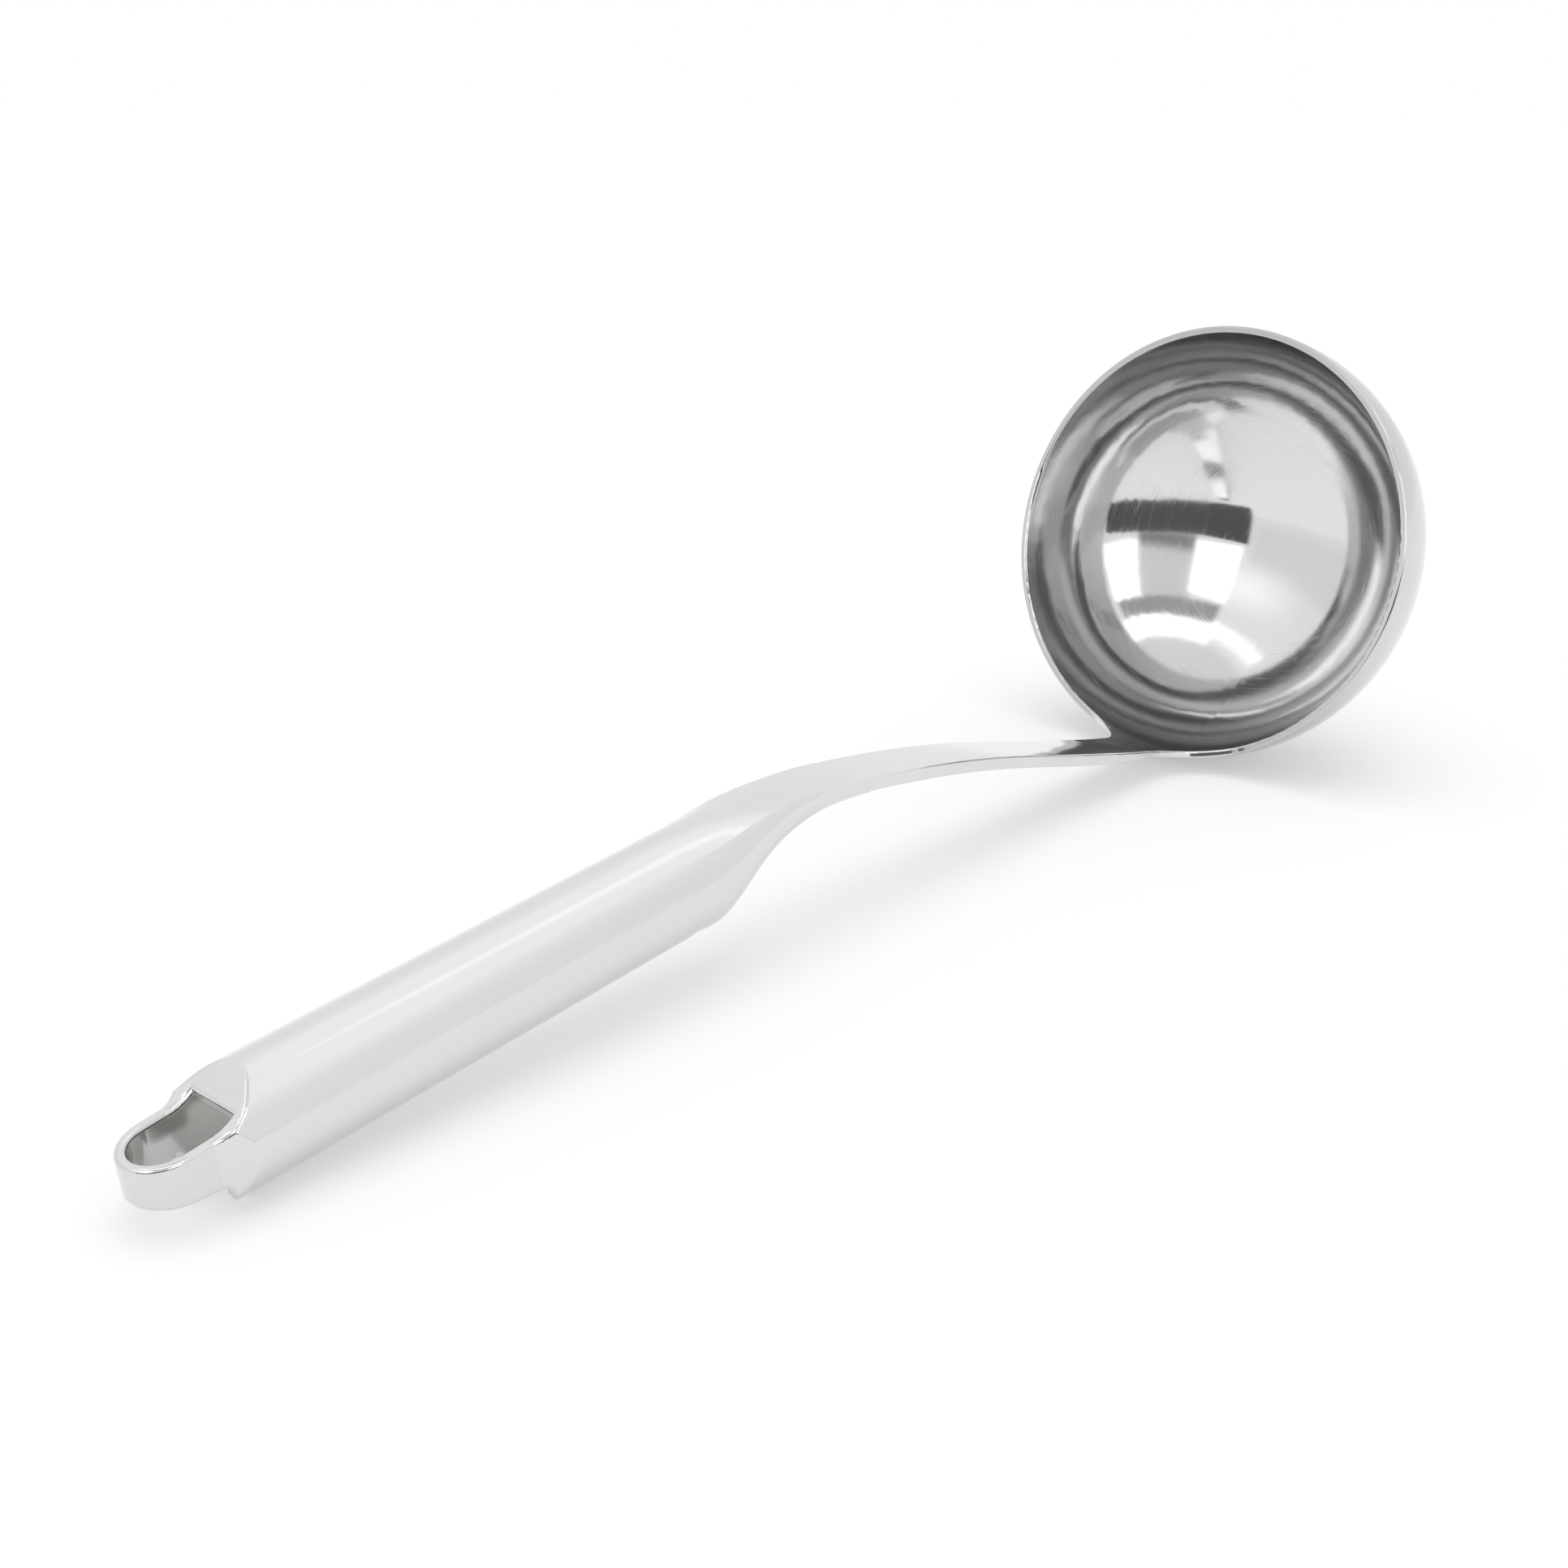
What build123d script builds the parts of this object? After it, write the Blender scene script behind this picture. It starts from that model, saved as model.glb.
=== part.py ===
"""Soup ladle in stainless steel, lying at rest on its bowl and on the end of its handle.

The bowl and the stem are pressed from one blank. The stem leaves the rim square to the rim's
plane, bends over and is let by a thin tang into the nose of a hollow round handle, which is
two pressed shells. The handle's far end is milled down to a hanging eye: a plug closes the
hollow, and a U-shaped strap is butted on its cheeks. All sizes are millimetres.

Frame: X runs along the ladle from the bowl to the eye, Y across it, Z up. The origin is the
middle of the footprint, on the table.
"""

import os
from math import asin, cos, degrees, hypot, radians, sin, sqrt, tan

from build123d import *

os.makedirs("parts", exist_ok=True)

# Whole ladle
OVERALL_LENGTH = 310.3
RIM_TILT = 14.1  # the rim's plane leans this many degrees back from upright

# Bowl
BOWL_DIAMETER = 95.0
BOWL_DEPTH = 42.0
LIP_HEIGHT = 2.0  # straight band under the rim, before the dome
DOME_SIDE_PULL = 0.7  # the dome's curve holds on to the side for this share of its depth,
DOME_BASE_PULL = 0.45  # and to the base for this share of its radius
BOWL_WALL = 1.5

# Rounding
EDGE_ROUNDING = 0.4  # rim, notches and stem
EYE_ROUNDING = 0.8  # all edges of the eye, and those of the slopes to it
LEAST_CREASE = 10.0  # degrees; flatter edges are left as they are

# Stem
STEM_WIDTH = 13.0
STEM_THICKNESS = 2.6
STEM_NOTCH_RADIUS = 14.5  # between the stem's edge and the rim
STEM_FLATTENING = 20.0  # the bowl's curve across the stem fades over this length
STEM_BEND_START = 60.0  # along the stem, from the rim
STEM_BEND_RADIUS = 376.0
STEM_BEND_ANGLE = 8.0
STEM_SECTION_STEP = 15.0
STEM_RISE = 3.95  # its top stands this high over the handle's axis where they join
FLAT_CROWN = 0.05  # rise at mid-width of the faces that read as flat

# Handle
HANDLE_DIAMETER = 18.5
HANDLE_WALL = 1.2
CREST_BEND_RADIUS = 206.0  # the nose's top turns down to the stem on this arc
NOSE_TAPER_LAG = 2.4  # the sides draw in from here, past the start of the bend
NOSE_TAPER_LENGTH = 33.0
SCOOP_LENGTH = 41.3  # the underside rises from tube to stem over this length
SCOOP_START_PULL = 8.8
SCOOP_END_PULL = 29.6
NOSE_STATIONS = (0.0, 0.15, 0.3, 0.42, 0.54, 0.66, 0.78, 0.9)  # along the scoop's curve
HOLLOW_STATIONS = 6  # the hollow stops at this station, where the nose gets thin

# Tang of the stem, held between the two shells
TANG_LENGTH = 14.0
TANG_WIDTH = 9.0
TANG_THICKNESS = 1.0

# Hanging eye
EYE_WIDTH = 10.0
EYE_LENGTH = 13.0
STRAP_WALL = 1.8
STRAP_TIP_HEIGHT = 6.6
STRAP_HEIGHT = 8.0  # where it meets the handle
STRAP_LENGTH = 10.3  # the strap butts on the handle here, from the handle's end
TOP_SLOPE_LENGTH = 10.7
UNDER_SLOPE_LENGTH = 2.5
SIDE_SLOPE_START = 9.5
SIDE_SLOPE_LENGTH = 6.5
SLOPE_LEAD = 0.3  # the slopes start this far outside the tube, so that they leave it with a crease
SLOPE_LEAD_ANGLE = 15.0
PLUG_WALL = 1.5

# Stand-offs of the blocks that cut pieces apart
CUTTER_SIZE = 40.0  # reach of a cutting block, well outside the handle
SETTLING_STEPS = 30  # passes that find the handle's fall

# Derived sizes
BOWL_RADIUS = BOWL_DIAMETER / 2
DOME_DEPTH = BOWL_DEPTH - LIP_HEIGHT
STEM_HALF_WIDTH = STEM_WIDTH / 2
HANDLE_RADIUS = HANDLE_DIAMETER / 2
STRAP_HALF_WIDTH = EYE_WIDTH / 2 + STRAP_WALL
EYE_BACK = STRAP_WALL + EYE_LENGTH
DIAGONAL = sqrt(0.5)

# The handle lies on the last full-depth point of its underside, behind slot and slope
CONTACT_FROM_END = max(EYE_BACK + EYE_ROUNDING, STRAP_LENGTH + UNDER_SLOPE_LENGTH)
TIP_HALF_HEIGHT = STRAP_TIP_HEIGHT / 2 - EYE_ROUNDING


def along(slope):
    """Direction in the ladle's middle plane that climbs at slope degrees away from the bowl."""
    return Vector(cos(radians(slope)), 0, sin(radians(slope)))


def section_plane(origin, slope):
    """Plane square to a climbing direction: x across the ladle, y up."""
    return Plane(origin=origin, x_dir=(0, 1, 0), z_dir=along(slope))


def creases(body, least_angle):
    """Edges of a body where its faces meet at least_angle degrees or more."""
    sharp = []
    for edge in body.edges():
        faces = [face for face in body.faces() if any(edge.is_same(side) for side in face.edges())]
        normals = [face.normal_at(edge @ 0.5) for face in faces]
        if normals[0].get_angle(normals[-1]) >= least_angle:
            sharp.append(edge)
    return ShapeList(sharp)


# Bowl: straight lip, then a dome whose curve leaves the lip and meets the base squarely
def dome_face(radius, depth):
    """Half section of a solid bowl."""
    lip = Line((radius, 0), (radius, -LIP_HEIGHT))
    dome = Bezier(
        (radius, -LIP_HEIGHT),
        (radius, -LIP_HEIGHT - DOME_SIDE_PULL * depth),
        (DOME_BASE_PULL * radius, -LIP_HEIGHT - depth),
        (0, -LIP_HEIGHT - depth),
    )
    axis = Line((0, -LIP_HEIGHT - depth), (0, 0))
    top = Line((0, 0), (radius, 0))
    return make_face([lip, dome, axis, top])


bowl_section = dome_face(BOWL_RADIUS, DOME_DEPTH)
bowl_section -= dome_face(BOWL_RADIUS - BOWL_WALL, DOME_DEPTH - BOWL_WALL)
upright_bowl = revolve(Plane.XZ * bowl_section, Axis.Z)

# Bowl frame: x down to the stem's root, y across, z out of the bowl along its axis.
# The tilted bowl stands on its dome, at one end of the ladle's length.
leaning = Plane(origin=(0, 0, 0), x_dir=-along(RIM_TILT + 90), z_dir=along(RIM_TILT))
leaning_box = (leaning * upright_bowl).bounding_box()
bowl_plane = Plane(
    origin=(-OVERALL_LENGTH / 2 - leaning_box.min.X, 0, -leaning_box.min.Z),
    x_dir=leaning.x_dir,
    z_dir=leaning.z_dir,
)
bowl = bowl_plane * upright_bowl

# Stem: its upper mid-line runs on from the bowl's inner wall, straight and then bent down
STEM_BEND_LENGTH = STEM_BEND_RADIUS * radians(STEM_BEND_ANGLE)
STEM_LENGTH = STEM_BEND_START + STEM_BEND_LENGTH
STEM_START = bowl_plane.origin + bowl_plane.x_dir * (BOWL_RADIUS - BOWL_WALL)


def stem_line(distance):
    """Point on the stem's upper mid-line and the slope there."""
    straight = min(distance, STEM_BEND_START)
    turned = degrees((distance - straight) / STEM_BEND_RADIUS)
    chord = 2 * STEM_BEND_RADIUS * sin(radians(turned / 2))
    point = STEM_START + along(RIM_TILT) * straight + along(RIM_TILT - turned / 2) * chord
    return point, RIM_TILT - turned


joint_point, JOINT_SLOPE = stem_line(STEM_LENGTH)


def end_place(fall):
    """Where the middle of the handle's end is, when the handle falls by this angle and lies on the table."""
    turned = radians(fall)
    reach = OVERALL_LENGTH / 2 - TIP_HALF_HEIGHT * sin(turned)
    height = HANDLE_RADIUS * cos(turned) - CONTACT_FROM_END * sin(turned)
    return Vector(reach, 0, height)


def handle_fall():
    """Fall in degrees that takes the handle from the stem's end down to the table."""
    fall = 0.0
    for step in range(SETTLING_STEPS):
        run = end_place(fall) - joint_point
        length = hypot(run.X, run.Z)
        fall = degrees(asin(-run.Z / length) - asin(STEM_RISE / length))
    return fall


HANDLE_DROP = handle_fall()

# Handle frame: x from the handle's end towards the bowl, y across, z up from the tube's axis
handle_plane = Plane(
    origin=end_place(HANDLE_DROP),
    x_dir=-along(-HANDLE_DROP),
    z_dir=along(90 - HANDLE_DROP),
)

# The same frame for outlines seen from the side: x along the handle, y up
side_plane = Plane(origin=handle_plane.origin, x_dir=handle_plane.x_dir, z_dir=(0, 1, 0))


# Stem's root: the bowl's wall carried on past the rim, with a round notch on each side
notch_centre = STEM_HALF_WIDTH + STEM_NOTCH_RADIUS
root_outline = Pos(0, -LIP_HEIGHT) * Rectangle(
    2 * notch_centre, LIP_HEIGHT + STEM_NOTCH_RADIUS, align=(Align.CENTER, Align.MIN)
)
for side in (-1, 1):
    root_outline -= Pos(side * notch_centre, STEM_NOTCH_RADIUS) * Circle(STEM_NOTCH_RADIUS)
root_plane = Plane(origin=bowl_plane.origin, x_dir=(0, 1, 0), z_dir=bowl_plane.x_dir)
root_wall = Cylinder(BOWL_RADIUS, BOWL_DIAMETER) - Cylinder(BOWL_RADIUS - BOWL_WALL, BOWL_DIAMETER)
stem_root = extrude(root_plane * root_outline, BOWL_DIAMETER) & (bowl_plane * root_wall)


def at_root_end(edge):
    return bowl_plane.to_local_coords(edge @ 0.5).Z > STEM_NOTCH_RADIUS - EDGE_ROUNDING / 2


bowl_and_root = bowl + stem_root
rim_edges = creases(bowl_and_root, LEAST_CREASE).filter_by(at_root_end, reverse=True)
bowl_and_root = fillet(rim_edges, EDGE_ROUNDING)


# Sections of stem and nose
def four_sided(plane, half_width, top, bottom, drops):
    """Cross-section with four slightly bent sides; drops say how far corners stand back."""
    top_drop, bottom_drop, side_drop = drops
    corner = half_width - side_drop
    upper = top - top_drop
    lower = bottom + bottom_drop
    middle = (upper + lower) / 2
    over = ThreePointArc((-corner, upper), (0, top), (corner, upper))
    under = ThreePointArc((corner, lower), (0, bottom), (-corner, lower))
    if side_drop:
        right = ThreePointArc((corner, upper), (half_width, middle), (corner, lower))
        left = ThreePointArc((-corner, lower), (-half_width, middle), (-corner, upper))
    else:
        right = Line((corner, upper), (corner, lower))
        left = Line((-corner, lower), (-corner, upper))
    return plane * make_face([over, right, under, left])


def ease(share):
    """Smooth step from 0 to 1."""
    share = min(max(share, 0.0), 1.0)
    return share * share * (3 - 2 * share)


def blend(first, last, share):
    """Value at a share of the way from first to last."""
    return first + (last - first) * share


def rounded(section):
    """Section with its corners rounded."""
    return fillet(section.vertices(), EDGE_ROUNDING)


def hollow(radius):
    """Depth of a cylinder's hollow over the stem's width."""
    return radius - sqrt(radius**2 - STEM_HALF_WIDTH**2)


def stem_section(distance):
    point, slope = stem_line(distance)
    share = ease((distance - STEM_NOTCH_RADIUS) / STEM_FLATTENING)
    thickness = blend(BOWL_WALL, STEM_THICKNESS, share)
    drops = (
        blend(-hollow(BOWL_RADIUS - BOWL_WALL), FLAT_CROWN, share),
        blend(hollow(BOWL_RADIUS), FLAT_CROWN, share),
        0,
    )
    section = four_sided(section_plane(point, slope), STEM_HALF_WIDTH, 0, -thickness, drops)
    return rounded(section)


# Joint of stem and handle, as seen in the handle frame
JOINT_ANGLE = JOINT_SLOPE + HANDLE_DROP
JOINT_STATION = handle_plane.to_local_coords(joint_point).X
JOINT_TOP = STEM_RISE
JOINT_BOTTOM = JOINT_TOP - STEM_THICKNESS / cos(radians(JOINT_ANGLE))

# The nose's top is an arc between the tube's crest and the line of the stem
CREST_TANGENT = CREST_BEND_RADIUS * tan(radians(JOINT_ANGLE / 2))
NOSE_START = JOINT_STATION - (HANDLE_RADIUS - JOINT_TOP) / tan(radians(JOINT_ANGLE)) - CREST_TANGENT
CREST_END = NOSE_START + CREST_BEND_RADIUS * sin(radians(JOINT_ANGLE))
NOSE_LENGTH = JOINT_STATION - NOSE_START


def handle_section_plane(station):
    return section_plane(handle_plane.origin + handle_plane.x_dir * station, -HANDLE_DROP)


def crest(station):
    """Height of the nose's top line."""
    if station > CREST_END:
        return JOINT_TOP + (JOINT_STATION - station) * tan(radians(JOINT_ANGLE))
    bent = max(station - NOSE_START, 0)
    return HANDLE_RADIUS - CREST_BEND_RADIUS + sqrt(CREST_BEND_RADIUS**2 - bent**2)


# The nose's underside scoops up from the tube to the stem
scoop_start = (JOINT_STATION - SCOOP_LENGTH, -HANDLE_RADIUS)
scoop_end = (JOINT_STATION, JOINT_BOTTOM)
scoop_line = Bezier(
    scoop_start,
    (scoop_start[0] + SCOOP_START_PULL, -HANDLE_RADIUS),
    (
        scoop_end[0] - SCOOP_END_PULL * cos(radians(JOINT_ANGLE)),
        scoop_end[1] + SCOOP_END_PULL * sin(radians(JOINT_ANGLE)),
    ),
    scoop_end,
)


def nose_section(station, bottom, inset=0.0):
    """Section of the nose, or of its hollow at an inset."""
    share = ease((station - NOSE_START) / NOSE_LENGTH)
    taper = ease((station - NOSE_START - NOSE_TAPER_LAG) / NOSE_TAPER_LENGTH)
    half_width = blend(HANDLE_RADIUS, STEM_HALF_WIDTH, taper) - inset
    top = crest(station) - inset
    bottom = bottom + inset
    half_height = (top - bottom) / 2
    joint_half_height = (JOINT_TOP - JOINT_BOTTOM) / 2
    upright = half_height * blend(1 - DIAGONAL, FLAT_CROWN / joint_half_height, share)
    sideways = half_width * blend(1 - DIAGONAL, 0, share)
    return four_sided(handle_section_plane(station), half_width, top, bottom, (upright, upright, sideways))


def nose_solid(stations, inset=0.0):
    sections = [nose_section(NOSE_START, -HANDLE_RADIUS, inset)]
    for share in stations:
        point = scoop_line @ share
        sections.append(nose_section(point.X, point.Y, inset))
    return loft(sections)


stem_steps = round((STEM_LENGTH - STEM_NOTCH_RADIUS) / STEM_SECTION_STEP)
stem_sections = []
for step in range(stem_steps):
    stem_sections.append(stem_section(blend(STEM_NOTCH_RADIUS, STEM_LENGTH, step / stem_steps)))
stem_sections.append(rounded(nose_section(JOINT_STATION, JOINT_BOTTOM)))
stem = loft(stem_sections)

# Tang: runs on from the middle of the stem's thickness into the handle's nose
tang_plane = section_plane(joint_point - along(JOINT_SLOPE + 90) * (STEM_THICKNESS / 2), JOINT_SLOPE)
rooted_length = TANG_LENGTH + STEM_THICKNESS
tang = Box(TANG_WIDTH, TANG_THICKNESS, rooted_length, align=(Align.CENTER, Align.CENTER, Align.MIN))
tang = tang_plane * Pos(0, 0, -STEM_THICKNESS) * tang
bowl_and_stem = bowl_and_root + stem + tang


# Handle: a round tube, milled down at its end to outlines seen from the side and from above
def tube(radius, start, end):
    """Solid round bar between two stations."""
    return extrude(handle_section_plane(end) * Circle(radius), end - start)


def milled_outline(half_tip, half_strap, slope_start, slope_length, inset):
    """Half of an outline along the handle: the strap, then a slope that leaves the tube."""
    level = half_strap - inset
    outside = HANDLE_RADIUS + SLOPE_LEAD - inset
    slope_end = slope_start + slope_length
    slope = Spline(
        (slope_start, level),
        (slope_end, outside),
        tangents=[(slope_start, half_strap - half_tip), Vector(1, 0).rotate(Axis.Z, SLOPE_LEAD_ANGLE)],
    )
    return make_face([
        Line((0, 0), (0, half_tip - inset)),
        Line((0, half_tip - inset), (slope_start, level)),
        slope,
        Line((slope_end, outside), (slope_end, CUTTER_SIZE)),
        Line((slope_end, CUTTER_SIZE), (NOSE_START, CUTTER_SIZE)),
        Line((NOSE_START, CUTTER_SIZE), (NOSE_START, 0)),
        Line((NOSE_START, 0), (0, 0)),
    ])


def milled_tube(inset=0.0):
    """Tube from the handle's end to the nose, with the eye end's slopes milled off."""
    strap = (STRAP_TIP_HEIGHT / 2, STRAP_HEIGHT / 2, STRAP_LENGTH)
    upper = milled_outline(*strap, TOP_SLOPE_LENGTH, inset)
    lower = mirror(milled_outline(*strap, UNDER_SLOPE_LENGTH, inset), Plane.XZ)
    flank = milled_outline(STRAP_HALF_WIDTH, STRAP_HALF_WIDTH, SIDE_SLOPE_START, SIDE_SLOPE_LENGTH, inset)
    from_side = extrude(side_plane * (upper + lower), CUTTER_SIZE, both=True)
    from_above = extrude(handle_plane * (flank + mirror(flank, Plane.XZ)), CUTTER_SIZE, both=True)
    return tube(HANDLE_RADIUS - inset, 0, NOSE_START) & from_side & from_above


def between(start, end):
    """Block across the handle between two stations."""
    block = Box(end - start, CUTTER_SIZE, CUTTER_SIZE, align=(Align.MIN, Align.CENTER, Align.CENTER))
    return handle_plane * Pos(start, 0, 0) * block


# Strap's round tip, and the slot through the eye
tip = Circle(STRAP_HALF_WIDTH)
tip += Rectangle(CUTTER_SIZE, CUTTER_SIZE, align=(Align.MIN, Align.CENTER))
tip = Pos(STRAP_HALF_WIDTH, 0) * tip
tip_block = extrude(handle_plane * tip, CUTTER_SIZE, both=True)
tip_cut = between(-CUTTER_SIZE, STRAP_HALF_WIDTH) - tip_block
slot = Pos(STRAP_HALF_WIDTH, 0) * Circle(EYE_WIDTH / 2)
slot += Pos(STRAP_HALF_WIDTH, 0) * Rectangle(
    EYE_BACK - STRAP_HALF_WIDTH, EYE_WIDTH, align=(Align.MIN, Align.CENTER)
)
eye_slot = extrude(handle_plane * slot, CUTTER_SIZE, both=True)

handle_body = milled_tube() - tip_cut - eye_slot


def at_eye(edge):
    """Whether an edge is one of the eye end's, and not an upright corner of the slot."""
    middle = handle_plane.to_local_coords(edge @ 0.5)
    upright = abs(edge.tangent_at(0.5).dot(handle_plane.z_dir)) > cos(radians(1))
    return middle.X < NOSE_START / 2 and not upright


handle_body = fillet(creases(handle_body, LEAST_CREASE).filter_by(at_eye), EYE_ROUNDING)
hanging_loop = handle_body & between(0, STRAP_LENGTH)
milled_hollow = milled_tube(HANDLE_WALL) & between(STRAP_LENGTH, NOSE_START)
nose_hollow = nose_solid(NOSE_STATIONS[:HOLLOW_STATIONS], HANDLE_WALL)
nose = nose_solid(NOSE_STATIONS + (1.0,))
casing = (handle_body & between(STRAP_LENGTH, NOSE_START)) + nose
casing = casing - milled_hollow - nose_hollow - tang
end_plug = (milled_hollow & between(STRAP_LENGTH, EYE_BACK + PLUG_WALL)) - eye_slot

# The casing parts along its mid-height, and half-way up the nose
seam_points = [(NOSE_START, 0)]
for share in NOSE_STATIONS[1:] + (1.0,):
    point = scoop_line @ share
    seam_points.append((point.X, (point.Y + crest(point.X)) / 2))
seam_end = Vector(*seam_points[-1])
seam_leaving = seam_end - Vector(*seam_points[-2])
seam = Spline(*seam_points, tangents=[(1, 0), seam_leaving])
corner = Vector(JOINT_STATION + CUTTER_SIZE, CUTTER_SIZE)
above_seam = make_face([
    Line((0, 0), seam_points[0]),
    seam,
    Polyline(seam_end, (corner.X, seam_end.Y), corner, (0, corner.Y), (0, 0)),
])
upper_half = extrude(side_plane * above_seam, CUTTER_SIZE, both=True)
handle_upper_shell = casing & upper_half
handle_lower_shell = casing - upper_half

export_step(bowl_and_stem, "parts/bowl_and_stem.step")
export_step(handle_upper_shell, "parts/handle_upper_shell.step")
export_step(handle_lower_shell, "parts/handle_lower_shell.step")
export_step(end_plug, "parts/end_plug.step")
export_step(hanging_loop, "parts/hanging_loop.step")
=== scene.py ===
"""Soup ladle in stainless steel: materials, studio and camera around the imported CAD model."""

from math import cos, pi, radians, sin

import bpy
from mathutils import Matrix, Vector

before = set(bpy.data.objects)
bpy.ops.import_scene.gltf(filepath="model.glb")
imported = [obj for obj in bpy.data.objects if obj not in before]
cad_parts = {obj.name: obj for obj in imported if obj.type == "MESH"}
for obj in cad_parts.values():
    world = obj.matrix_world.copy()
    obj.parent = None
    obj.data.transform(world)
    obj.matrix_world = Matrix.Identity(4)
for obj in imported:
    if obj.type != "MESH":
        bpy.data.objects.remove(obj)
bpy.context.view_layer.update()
scene = bpy.context.scene
scene.view_settings.view_transform = "Standard"

# Places that the materials follow, in metres, as in the CAD source
RIM_CENTRE = Vector((-0.11262, 0.0, 0.0478))
RIM_TILT = radians(14.1)
BOWL_AXIS = Vector((cos(RIM_TILT), 0.0, sin(RIM_TILT)))
BOWL_DOWN = Vector((sin(RIM_TILT), 0.0, -cos(RIM_TILT)))
HANDLE_END = Vector((0.15489, 0.0, 0.0076))
HANDLE_DROP = radians(6.0)
HANDLE_ALONG = Vector((-cos(HANDLE_DROP), 0.0, sin(HANDLE_DROP)))
HANDLE_UP = Vector((sin(HANDLE_DROP), 0.0, cos(HANDLE_DROP)))
EYE_CENTRE = 0.0068
EYE_HALF_WIDTH = 0.005

# Camera, fitted to the rim's ellipse and the outlines in the photograph
CAMERA_PLACE = Vector((0.261683, 0.216739, 0.150171))
CAMERA_YAW = radians(222.36)
CAMERA_PITCH = radians(20.68)
CAMERA_ROLL = radians(0.097)
FOCAL_PIXELS = 2400
PHOTO_WIDTH = 1932
SENSOR_WIDTH = 36.0
CLIP_START = 0.01

# Zones of the steel, in metres where each begins and where it is full: heights above the rim,
# radii from the bowl's axis, and for PAST_SLOT the distance from the slot's middle
BELOW_RIM = (0.0008, -0.0004)
SATIN_STEM = (0.05, 0.10)
SHOULDER_INNER = (0.018, 0.024)
SHOULDER_OUTER = (0.040, 0.036)
# The wall near the rim is a little rougher, and its colour is darkened as painted shade
SHADED_RIM_WALL = (0.037, 0.042)
PAST_SLOT = (EYE_HALF_WIDTH + 0.0001, EYE_HALF_WIDTH + 0.0005)

# Brushing, as noise per metre in the three directions, or per radian round the bowl
BOWL_RINGS = (9000.0, 7.0, 9000.0)
STEM_BRUSHING = (300.0, 6000.0, 90.0)
HANDLE_BRUSHING = (120.0, 7000.0, 7000.0)
EYE_GRINDING = (500.0, 500.0, 6000.0)
PRESSING_STRETCH = (0.4, 1.0, 1.0)
SCRATCH_SHOWS = (0.53, 0.69)

# Darkest and lightest tone of each finish
POLISHED = ((0.69, 0.69, 0.685, 1.0), (0.78, 0.78, 0.775, 1.0))
# The wall's two tones are painted shade: darker than the polished steel, standing in for dark
# reflections near the rim
WALL_DEEP_SHADE = ((0.42, 0.42, 0.42, 1.0), (0.52, 0.52, 0.52, 1.0))
WALL_LIGHT_SHADE = ((0.62, 0.62, 0.62, 1.0), (0.70, 0.70, 0.70, 1.0))
SATIN_HANDLE = ((0.70, 0.70, 0.69, 1.0), (0.76, 0.76, 0.75, 1.0))
EYE_OUTSIDE = ((0.68, 0.68, 0.67, 1.0), (0.74, 0.74, 0.73, 1.0))
# Painted shade: the tones of the slot's walls, darker than the eye's outside
EYE_SLOT_SHADE = ((0.54, 0.54, 0.53, 1.0), (0.66, 0.66, 0.65, 1.0))

# Studio: brightness of floor and surroundings, and where the walls end and the ceiling begins
WHITE = (1.0, 1.0, 1.0, 1.0)
FLOOR_REACH = 4.0
FLOOR_ALBEDO = 0.9
FLOOR_ROUGHNESS = 0.9
FLOOR_LIFT = 0.38
AMBIENT = 0.87
LOW_WALLS = 0.95
CEILING = 1.03
WALLS_END = radians(18)
CEILING_BEGINS = radians(60)

# Cards that only the steel reflects, each a curved mesh of CARD_GRID columns and rows:
# name, azimuths, lower and upper elevations at these azimuths in degrees seen from the rim's
# centre, level, distance in metres, and the share of width and height over which it fades out
CARD_GRID = (16, 20)
FLOOR_CLEARANCE = 0.0005
CARDS = (
    ("dark_opening", (-11, 76), (-4.5, -9.5), (12.0, 8.5), 0.065, 2.6, (0.03, 0.06)),
    ("window_near", (49, 78), (12, 11), (43, 44), 1.8, 2.6, (0.1, 0.08)),
    ("window_far", (-9, 16), (12, 12), (39, 38), 1.8, 2.6, (0.1, 0.07)),
    ("gap_shade", (14, 51), (8, 6), (21, 18), 0.25, 2.65, (0.08, 0.45)),
    ("dim_gap", (13, 52), (8, 6), (44, 45), 0.78, 2.7, (0.1, 0.1)),
    ("dim_ledge", (-9, 76), (38, 42), (50, 53), 0.38, 2.35, (0.06, 0.2)),
    ("ceiling", (-14, 82), (45, 52), (61, 68), 1.8, 2.4, (0.06, 0.2)),
    ("ceiling_beam", (-58, -8), (46, 46), (57, 57), 1.5, 2.4, (0.1, 0.3)),
    ("side_glow", (-58, 32), (14, 14), (44, 44), 1.3, 2.75, (0.5, 0.5)),
    ("side_panel", (-95, -11), (-1, -1), (25, 25), 0.86, 2.8, (0.05, 0.25)),
    ("top_panel", (-100, 100), (58, 58), (89, 89), 0.87, 2.7, (0.1, 0.1)),
    ("back_softbox", (95, 265), (38, 38), (88, 88), 1.12, 2.5, (0.15, 0.35)),
    ("handle_strip", (158, 202), (45, 45), (80, 80), 1.3, 2.3, (0.48, 0.2)),
)


def add_object(name, data):
    thing = bpy.data.objects.new(name, data)
    scene.collection.objects.link(thing)
    return thing


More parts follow.
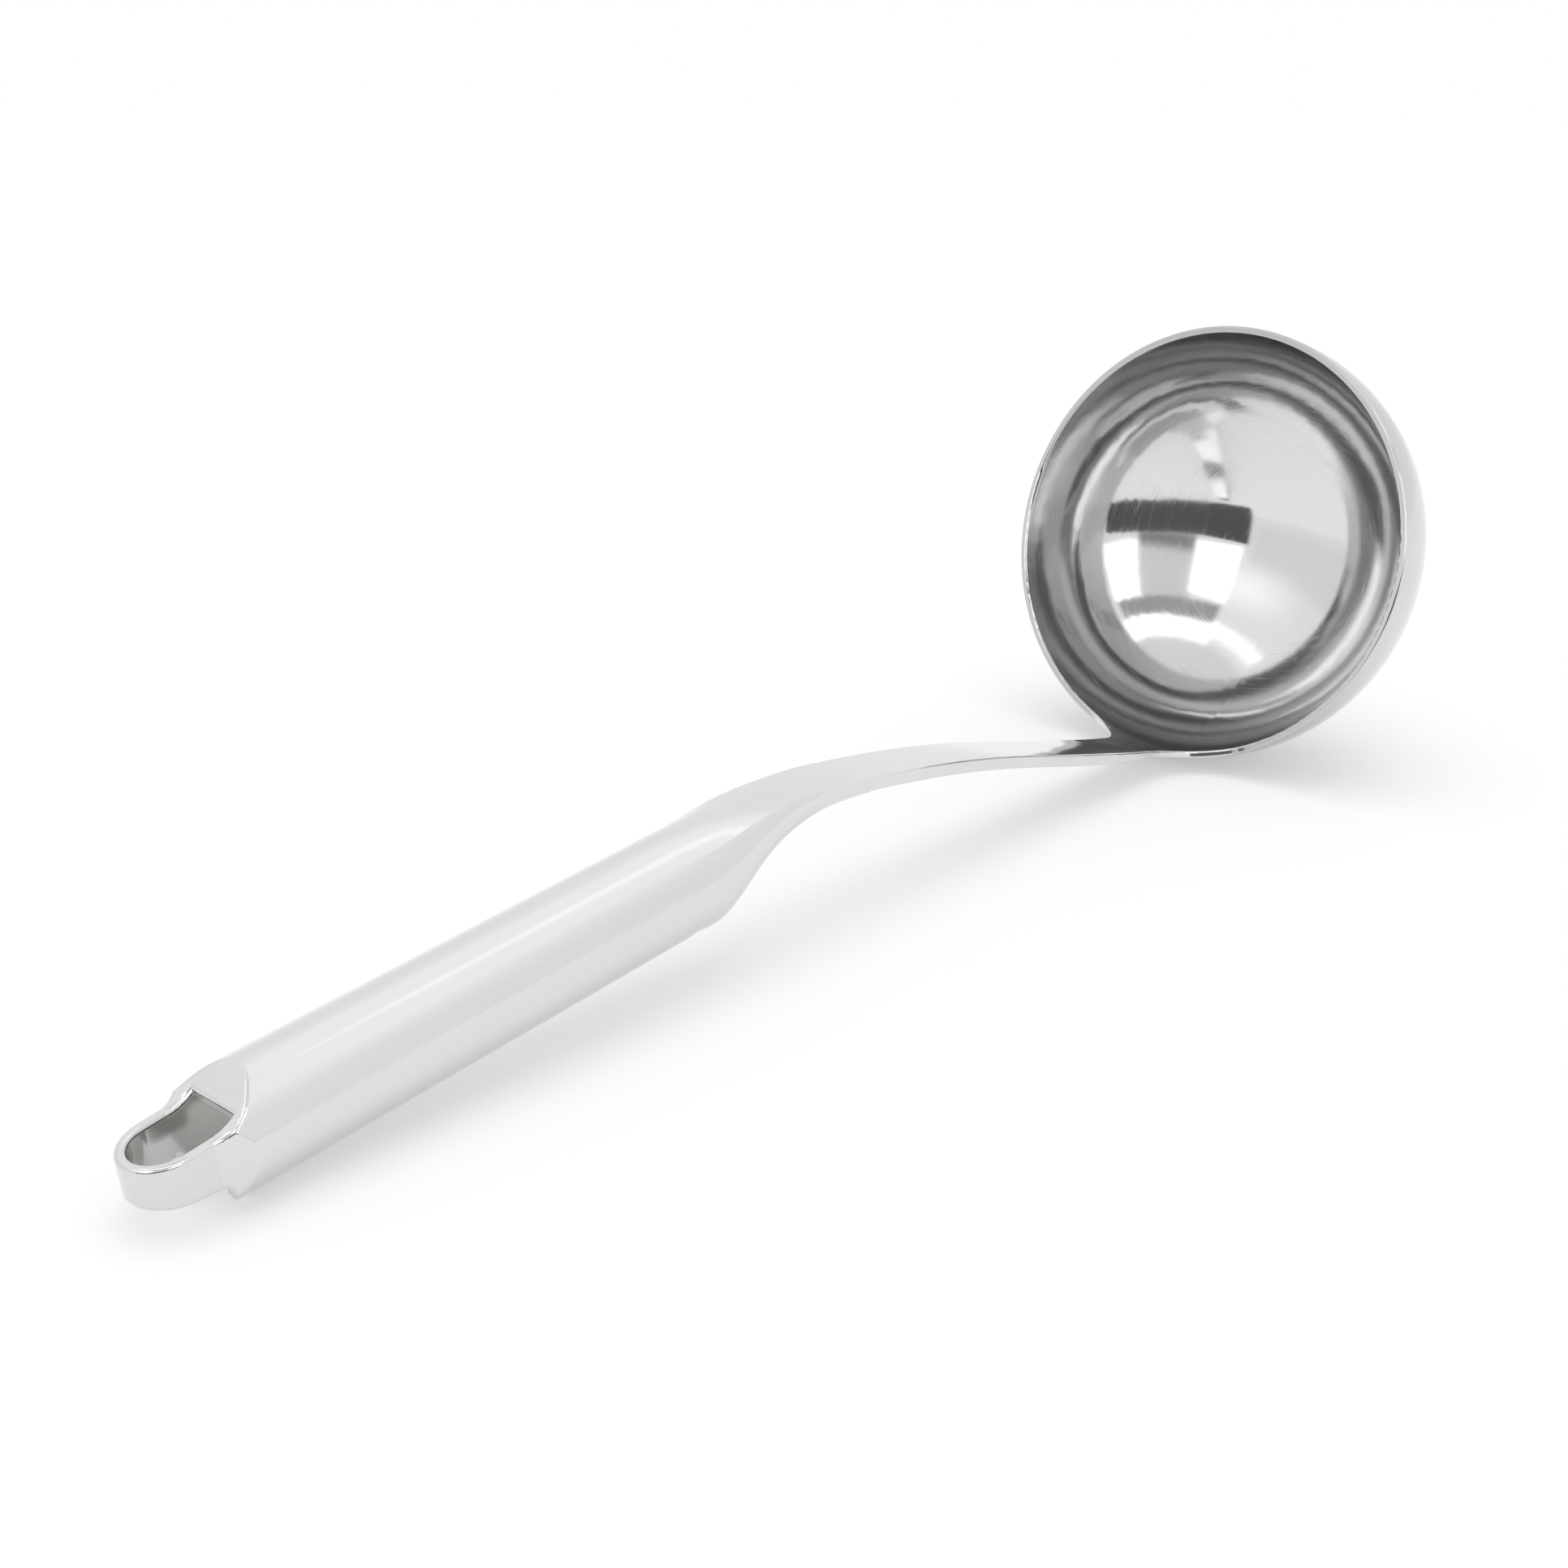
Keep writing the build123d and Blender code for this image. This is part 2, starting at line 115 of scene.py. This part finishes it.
def add_camera():
    forward = Vector((
        cos(CAMERA_PITCH) * cos(CAMERA_YAW),
        cos(CAMERA_PITCH) * sin(CAMERA_YAW),
        -sin(CAMERA_PITCH),
    ))
    right = Vector((sin(CAMERA_YAW), -cos(CAMERA_YAW), 0.0))
    up = right.cross(forward)
    across = right * cos(CAMERA_ROLL) + up * sin(CAMERA_ROLL)
    above = up * cos(CAMERA_ROLL) - right * sin(CAMERA_ROLL)
    turn = Matrix((across, above, -forward)).transposed()
    data = bpy.data.cameras.new("photo_camera")
    data.sensor_fit = "HORIZONTAL"
    data.sensor_width = SENSOR_WIDTH
    data.lens = FOCAL_PIXELS / PHOTO_WIDTH * SENSOR_WIDTH
    data.clip_start = CLIP_START
    camera = add_object("photo_camera", data)
    camera.matrix_world = Matrix.Translation(CAMERA_PLACE) @ turn.to_4x4()
    scene.camera = camera


class Nodes:
    """Short calls to build the node tree of a material or world, which starts empty."""

    def __init__(self, owner):
        owner.use_nodes = True
        self.tree = owner.node_tree
        self.tree.nodes.clear()

    def feed(self, socket, value):
        if isinstance(value, bpy.types.NodeSocket):
            self.tree.links.new(value, socket)
        else:
            socket.default_value = value

    def add(self, kind, inputs=(), **settings):
        node = self.tree.nodes.new(kind)
        for name, value in settings.items():
            setattr(node, name, value)
        for name, value in dict(inputs).items():
            self.feed(node.inputs[name], value)
        return node

    def math(self, operation, first, second=0.0):
        node = self.add("ShaderNodeMath", {0: first, 1: second}, operation=operation)
        return node.outputs[0]

    def total(self, value, *weighted):
        """Value plus each further value times its weight."""
        for term, weight in weighted:
            value = self.math("ADD", value, self.math("MULTIPLY", term, weight))
        return value

    def square(self, value):
        return self.math("MULTIPLY", value, value)

    def length(self, x, y):
        return self.math("SQRT", self.math("ADD", self.square(x), self.square(y)))

    def step(self, value, low, high):
        """Smooth change from 0 to 1 while value goes from low to high."""
        node = self.add(
            "ShaderNodeMapRange",
            {"Value": value, "From Min": low, "From Max": high},
            interpolation_type="SMOOTHSTEP",
        )
        return node.outputs["Result"]

    def vector(self, operation, first, second):
        node = self.add("ShaderNodeVectorMath", {0: first, 1: second}, operation=operation)
        return node.outputs["Value" if operation == "DOT_PRODUCT" else "Vector"]

    def scale(self, vector, factor):
        node = self.add("ShaderNodeVectorMath", {0: vector, "Scale": factor}, operation="SCALE")
        return node.outputs["Vector"]

    def combine(self, parts, factors=None):
        """Vector of three values, each times its factor."""
        if factors:
            parts = [self.math("MULTIPLY", part, by) for part, by in zip(parts, factors)]
        return self.add("ShaderNodeCombineXYZ", dict(zip("XYZ", parts))).outputs[0]

    def noise(self, vector, scale, detail, roughness):
        node = self.add("ShaderNodeTexNoise", {
            "Vector": vector, "Scale": scale, "Detail": detail, "Roughness": roughness,
        })
        return node.outputs["Fac"]

    def bump(self, height, strength, distance, **under):
        node = self.add("ShaderNodeBump", {
            "Height": height, "Strength": strength, "Distance": distance, **under,
        })
        return node.outputs["Normal"]

    def mix(self, share, first, second):
        node = self.add("ShaderNodeMix", {0: share, 2: first, 3: second}, data_type="FLOAT")
        return node.outputs[0]

    def mix_colour(self, share, first, second):
        node = self.add("ShaderNodeMix", data_type="RGBA")
        sockets = {socket.identifier: socket for socket in node.inputs}
        self.feed(sockets["Factor_Float"], share)
        self.feed(sockets["A_Color"], first)
        self.feed(sockets["B_Color"], second)
        return next(o for o in node.outputs if o.identifier == "Result_Color")


def local_place(nodes, origin, across, up):
    """Position seen from a place on the ladle: x along across, z along up, in metres."""
    position = nodes.add("ShaderNodeTexCoord").outputs["Object"]
    moved = nodes.vector("SUBTRACT", position, origin)
    return [nodes.vector("DOT_PRODUCT", moved, axis) for axis in (across, up.cross(across), up)]


def bowl_steel(nodes):
    """Spun bowl: ring-shaped scratches, coarser round the shoulder, and a slightly rougher wall
    near the rim whose colour is darkened as painted shade.

    The stem, which is the same sheet, is brushed along its length.
    """
    side = BOWL_AXIS.cross(BOWL_DOWN)
    x, y, z = local_place(nodes, RIM_CENTRE, BOWL_DOWN, BOWL_AXIS)
    radius = nodes.length(x, y)
    angle = nodes.math("ARCTAN2", y, x)
    in_bowl = nodes.step(z, *BELOW_RIM)

    # Scratches run round the bowl, so the noise changes fast across them and slowly along them
    rings = nodes.combine((radius, angle, z), BOWL_RINGS)
    fine = nodes.noise(rings, scale=0.55, detail=4.0, roughness=0.65)
    lengthwise = nodes.combine((x, y, z), STEM_BRUSHING)
    grain = nodes.noise(lengthwise, scale=0.5, detail=3.0, roughness=0.6)
    scratch = nodes.mix(in_bowl, grain, fine)
    lines = nodes.step(fine, *SCRATCH_SHOWS)

    # Slow unevenness left by spinning and buffing
    place = nodes.combine((x, y, z))
    waves = nodes.noise(place, scale=45.0, detail=1.5, roughness=0.45)
    patches = nodes.noise(place, scale=120.0, detail=3.0, roughness=0.55)

    shoulder = nodes.math(
        "MULTIPLY", nodes.step(radius, *SHOULDER_INNER), nodes.step(radius, *SHOULDER_OUTER),
    )
    coarse = nodes.math("MULTIPLY", shoulder, in_bowl)
    wall = nodes.math("MULTIPLY", nodes.step(radius, *SHADED_RIM_WALL), in_bowl)
    satin = nodes.step(z, *SATIN_STEM)
    roughness = nodes.total(
        0.035, (coarse, 0.05), (lines, 0.13), (patches, 0.02), (wall, 0.02), (satin, 0.09),
    )

    shoulder_lines = nodes.math("MULTIPLY", lines, coarse)
    tone = nodes.total(0.0, (scratch, 0.6), (patches, 0.4), (shoulder_lines, -0.5))
    # Painted shade: the wall near the rim is darker in colour, most where it lies along the
    # local x direction (BOWL_DOWN), standing in for dark reflections
    deep_shade_share = nodes.math("DIVIDE", nodes.square(x), nodes.square(radius))
    shaded_wall = nodes.mix_colour(
        deep_shade_share, nodes.mix_colour(tone, *WALL_LIGHT_SHADE), nodes.mix_colour(tone, *WALL_DEEP_SHADE),
    )
    colour = nodes.mix_colour(wall, nodes.mix_colour(tone, *POLISHED), shaded_wall)

    scratched = nodes.bump(scratch, strength=0.16, distance=0.000012)
    swell = nodes.bump(waves, strength=0.25, distance=0.0004, Normal=scratched)

    # Brushing stretches reflections across itself: outwards in the bowl, sideways on the stem
    radial = nodes.vector("ADD", nodes.scale(BOWL_DOWN, x), nodes.scale(side, y))
    on_stem = nodes.math("SUBTRACT", 1.0, in_bowl)
    across = nodes.vector("ADD", nodes.scale(radial, in_bowl), nodes.scale(side, on_stem))
    return {"Base Color": colour, "Roughness": roughness, "Normal": swell, "Tangent": across}


def handle_steel(nodes):
    """Satin handle: fine lengthwise brushing and faint unevenness of the pressing."""
    place = local_place(nodes, HANDLE_END, HANDLE_ALONG, HANDLE_UP)
    brushed = nodes.combine(place, HANDLE_BRUSHING)
    grain = nodes.noise(brushed, scale=0.4, detail=3.0, roughness=0.6)
    pressed = nodes.combine(place, PRESSING_STRETCH)
    patches = nodes.noise(pressed, scale=150.0, detail=3.0, roughness=0.6)
    tone = nodes.total(0.0, (grain, 0.75), (patches, 0.25))
    return {
        "Base Color": nodes.mix_colour(tone, *SATIN_HANDLE),
        "Roughness": nodes.total(0.12, (grain, 0.04), (patches, 0.02)),
        "Normal": nodes.bump(grain, strength=0.08, distance=0.00001),
    }


def eye_steel(nodes):
    """Ground eye: short scratches that follow the loop, and the slot's walls darkened in colour
    as painted shade.
    """
    x, y, z = local_place(nodes, HANDLE_END, HANDLE_ALONG, HANDLE_UP)
    ground = nodes.combine((x, y, z), EYE_GRINDING)
    grain = nodes.noise(ground, scale=0.5, detail=3.0, roughness=0.6)
    place = nodes.combine((x, y, z))
    patches = nodes.noise(place, scale=260.0, detail=3.0, roughness=0.6)
    tone = nodes.total(0.0, (grain, 0.5), (patches, 0.5))

    # The slot is as wide as its round end, whose centre lies EYE_CENTRE from the handle's end
    past_centre = nodes.math("MAXIMUM", nodes.math("SUBTRACT", EYE_CENTRE, x), 0.0)
    outside = nodes.step(nodes.length(y, past_centre), *PAST_SLOT)
    # Painted shade: inside the slot the colour is darker
    colour = nodes.mix_colour(
        outside, nodes.mix_colour(tone, *EYE_SLOT_SHADE), nodes.mix_colour(tone, *EYE_OUTSIDE),
    )
    return {
        "Base Color": colour,
        "Roughness": nodes.total(0.07, (grain, 0.06), (patches, 0.05)),
        "Normal": nodes.bump(grain, strength=0.3, distance=0.000012),
    }


def steel(name, build, metallic=1.0, anisotropy=0.0):
    """Metal whose colour, roughness, bump and brushing direction come from build."""
    material = bpy.data.materials.new(name)
    nodes = Nodes(material)
    shader = nodes.add("ShaderNodeBsdfPrincipled", {
        "Metallic": metallic, "Anisotropic": anisotropy, **build(nodes),
    })
    nodes.add("ShaderNodeOutputMaterial", {"Surface": shader.outputs["BSDF"]})
    return material


def add_steel():
    # Slightly less than metal, so that the bowl's many mirror images of itself don't go black
    bowl = steel("bowl_steel", bowl_steel, metallic=0.93, anisotropy=0.4)
    handle = steel("handle_steel", handle_steel)
    eye = steel("eye_steel", eye_steel)
    materials = {
        "bowl_and_stem": bowl,
        "handle_upper_shell": handle,
        "handle_lower_shell": handle,
        "end_plug": eye,
        "hanging_loop": eye,
    }
    for node, material in materials.items():
        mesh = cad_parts[node].data
        mesh.materials.clear()
        mesh.materials.append(material)


def soft_light(name, level, softness):
    """Light of one level that fades out towards the card's edges."""
    material = bpy.data.materials.new(name)
    nodes = Nodes(material)
    place = nodes.add("ShaderNodeTexCoord").outputs["UV"]
    split = nodes.add("ShaderNodeSeparateXYZ", {0: place})
    across, upwards = (
        nodes.math(
            "MULTIPLY",
            nodes.step(split.outputs[axis], 0.0, fade),
            nodes.step(split.outputs[axis], 1.0, 1.0 - fade),
        )
        for axis, fade in zip("XY", softness)
    )
    share = nodes.math("MULTIPLY", across, upwards)
    grey = (level, level, level, 1.0)
    light = nodes.add("ShaderNodeEmission", {"Color": grey, "Strength": 1.0})
    clear = nodes.add("ShaderNodeBsdfTransparent")
    mixed = nodes.add("ShaderNodeMixShader", {
        0: share, 1: clear.outputs[0], 2: light.outputs[0],
    })
    nodes.add("ShaderNodeOutputMaterial", {"Surface": mixed.outputs[0]})
    return material


def reflected_panel(name, points, places, faces, material):
    """Mesh that shows only in reflections."""
    mesh = bpy.data.meshes.new(name)
    mesh.from_pydata(points, [], faces)
    uv = mesh.uv_layers.new(name="UVMap")
    for loop, spot in zip(mesh.loops, uv.data):
        spot.uv = places[loop.vertex_index]
    mesh.materials.append(material)
    panel = add_object(name, mesh)
    panel.visible_camera = False
    panel.visible_diffuse = False
    panel.visible_shadow = False
    panel.visible_transmission = False


def between(ends, share):
    return ends[0] + (ends[1] - ends[0]) * share


def direction(azimuth, elevation):
    a, e = radians(azimuth), radians(elevation)
    return Vector((cos(e) * cos(a), cos(e) * sin(a), sin(e)))


def add_card(name, azimuths, lows, highs, level, distance, softness):
    """Curved card round the bowl. Where it would go below the floor, it lies on the floor."""
    columns, rows = CARD_GRID
    points = []
    places = []
    for row in range(rows + 1):
        up = row / rows
        for column in range(columns + 1):
            over = column / columns
            edges = (between(lows, over), between(highs, over))
            ray = direction(between(azimuths, over), between(edges, up))
            reach = distance
            if ray.z < 0.0:
                reach = min(distance, (RIM_CENTRE.z - FLOOR_CLEARANCE) / -ray.z)
            points.append(RIM_CENTRE + ray * reach)
            places.append((over, up))
    faces = []
    for row in range(rows):
        for column in range(columns):
            corner = row * (columns + 1) + column
            faces.append((corner, corner + 1, corner + columns + 2, corner + columns + 1))
    reflected_panel(name, points, places, faces, soft_light(name, level, softness))


def sight(nodes):
    """Whether the camera sees the surface, and whether the steel mirrors it."""
    path = nodes.add("ShaderNodeLightPath").outputs
    mirrored = nodes.math("MAXIMUM", path["Is Glossy Ray"], path["Is Transmission Ray"])
    return path["Is Camera Ray"], mirrored


def add_floor():
    """Pale floor whose shadows are lifted towards white, as in a bright white studio."""
    mesh = bpy.data.meshes.new("floor")
    reach = FLOOR_REACH
    mesh.from_pydata(
        [(-reach, -reach, 0), (reach, -reach, 0), (reach, reach, 0), (-reach, reach, 0)],
        [], [(0, 1, 2, 3)],
    )
    material = bpy.data.materials.new("pale_floor")
    nodes = Nodes(material)
    matt = nodes.add("ShaderNodeBsdfPrincipled", {
        "Base Color": (FLOOR_ALBEDO, FLOOR_ALBEDO, FLOOR_ALBEDO, 1.0),
        "Roughness": FLOOR_ROUGHNESS,
        "Specular IOR Level": 0.0,
    })
    white = nodes.add("ShaderNodeEmission", {"Color": WHITE, "Strength": 1.0})
    seen, mirrored = sight(nodes)
    lift = nodes.math("MULTIPLY", nodes.math("MAXIMUM", seen, mirrored), FLOOR_LIFT)
    mixed = nodes.add("ShaderNodeMixShader", {
        0: lift, 1: matt.outputs[0], 2: white.outputs[0],
    })
    nodes.add("ShaderNodeOutputMaterial", {"Surface": mixed.outputs[0]})
    mesh.materials.append(material)
    floor = add_object("floor", mesh)


def add_world():
    """White for the camera, a soft gradient in reflections, and even light on the floor."""
    world = bpy.data.worlds.new("white_studio")
    scene.world = world
    nodes = Nodes(world)
    seen, mirrored = sight(nodes)
    place = nodes.add("ShaderNodeTexCoord").outputs["Generated"]
    height = nodes.add("ShaderNodeSeparateXYZ", {0: place}).outputs["Z"]
    rise = nodes.step(height, sin(WALLS_END), sin(CEILING_BEGINS))
    glow = nodes.total(LOW_WALLS, (rise, CEILING - LOW_WALLS))
    level = nodes.total(
        AMBIENT, (seen, 1.0 - AMBIENT), (mirrored, nodes.math("SUBTRACT", glow, AMBIENT)),
    )
    shade = nodes.add("ShaderNodeBackground", {"Color": WHITE, "Strength": level})
    nodes.add("ShaderNodeOutputWorld", {"Surface": shade.outputs[0]})


def add_sun(name, place, spread, floor_share):
    """Wide lamp that adds this share to the floor's brightness and that steel doesn't mirror."""
    towards = Vector(place).normalized()
    data = bpy.data.lights.new(name, "SUN")
    data.angle = radians(spread)
    data.energy = floor_share * pi / (FLOOR_ALBEDO * towards.z)
    light = add_object(name, data)
    light.location = place
    light.rotation_euler = (-towards).to_track_quat("-Z", "Y").to_euler()
    light.visible_glossy = False


add_steel()
add_camera()
add_world()
add_floor()
add_sun("overhead_softbox", place=(-0.03, -0.05, 1.6), spread=55.0, floor_share=0.26)
for card in CARDS:
    add_card(*card)
